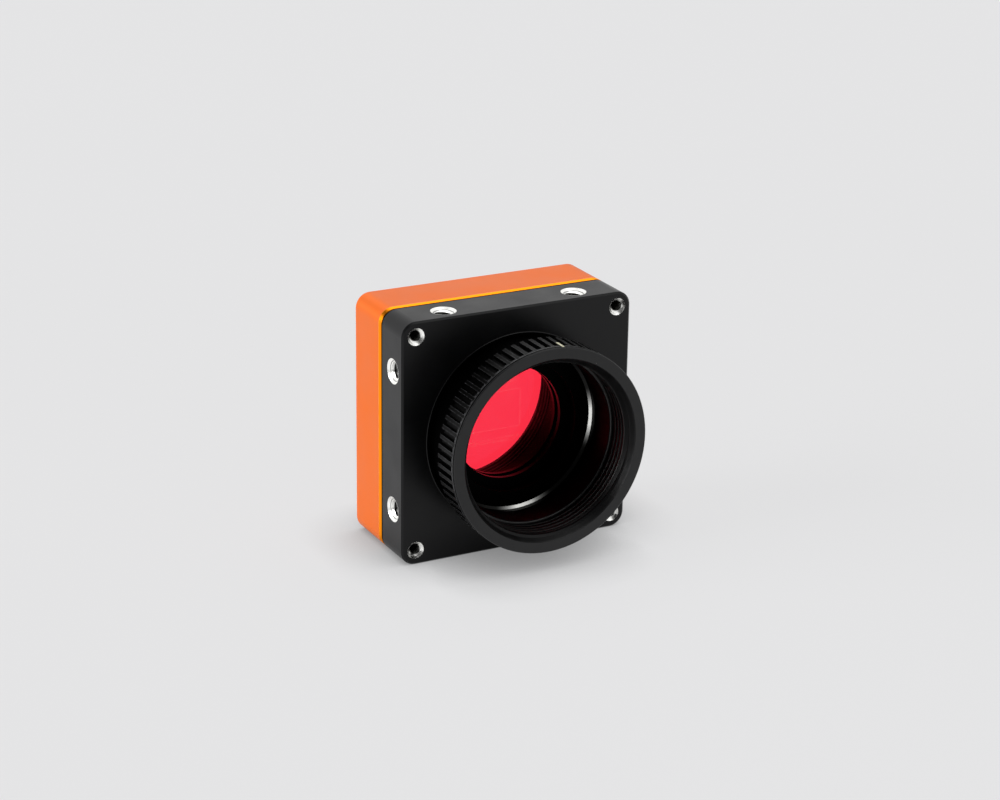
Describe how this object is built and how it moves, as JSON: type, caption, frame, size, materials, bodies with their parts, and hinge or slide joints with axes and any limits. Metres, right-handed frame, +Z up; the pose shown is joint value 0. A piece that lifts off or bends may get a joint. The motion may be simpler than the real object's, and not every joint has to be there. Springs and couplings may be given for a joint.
{
  "type": "industrial camera",
  "caption": "Small square industrial camera with a ribbed lens-mount ring, red filter, black front housing and orange rear shell.",
  "frame": {"origin": "centre of the body's footprint, on the surface that it stands on", "axes": "+Z up, -Y out of the lens mount along the optical axis, +X to the right seen from the front"},
  "size_m": [0.035, 0.025, 0.035],
  "materials": {
    "black_anodised": "satin black anodised",
    "orange_anodised": "satin orange anodised",
    "index_paint": "pale paint",
    "spring_steel": "bright wire",
    "filter_glass": "red mirror coating",
    "clear_glass": "clear",
    "seal_rubber": "matt",
    "ceramic": "fired ceramic",
    "silicon": "polished",
    "gold_wire": "bright",
    "tinned_metal": "tinned",
    "circuit_board": "solder mask",
    "chip_plastic": "moulded",
    "connector_plastic": "moulded",
    "plated_shell": "nickel plated",
    "screw_steel": "stainless",
    "black_screw": "black oxide",
    "brass_spacer": "turned",
    "thermal_rubber": "soft pad",
    "ferrite": "pressed",
    "capacitor_ceramic": "fired ceramic",
    "clear_plastic": "clear",
    "led_resin": "cast"
  },
  "bodies": {
    "housing": {"front_housing": "black_anodised", "snap_ring": "spring_steel", "filter_holder": "black_anodised", "filter_gasket": "seal_rubber", "filter_glass": "filter_glass", "sensor_package": "ceramic", "sensor_die": "silicon", "sensor_cover_glass": "clear_glass", "bond_wires": "gold_wire", "sensor_contacts": "tinned_metal", "sensor_board": "circuit_board", "capacitors": "capacitor_ceramic", "clock_crystal": "tinned_metal", "board_standoffs": "brass_spacer", "board_spacers": "brass_spacer", "board_screws": "screw_steel", "board_header": "connector_plastic", "board_receptacle": "connector_plastic", "interface_board": "circuit_board", "processor_chip": "chip_plastic", "thermal_pad": "thermal_rubber", "memory_chip": "chip_plastic", "power_inductors": "ferrite", "data_socket_shell": "plated_shell", "data_socket_tongue": "connector_plastic", "data_socket_contacts": "gold_wire", "io_socket_shroud": "connector_plastic", "io_socket_pins": "tinned_metal", "status_led": "led_resin", "light_pipe": "clear_plastic", "rear_shell": "orange_anodised", "assembly_screws": "black_screw"},
    "ring": {"lens_ring": "black_anodised", "index_mark": "index_paint"}
  },
  "joints": [
    {"name": "ring_turn", "type": "hinge", "parent": "housing", "child": "ring", "pos_m": [0, -0.0075, 0.0175], "axis": [0, -1, 0], "range_deg": [0, 1836]}
  ]
}
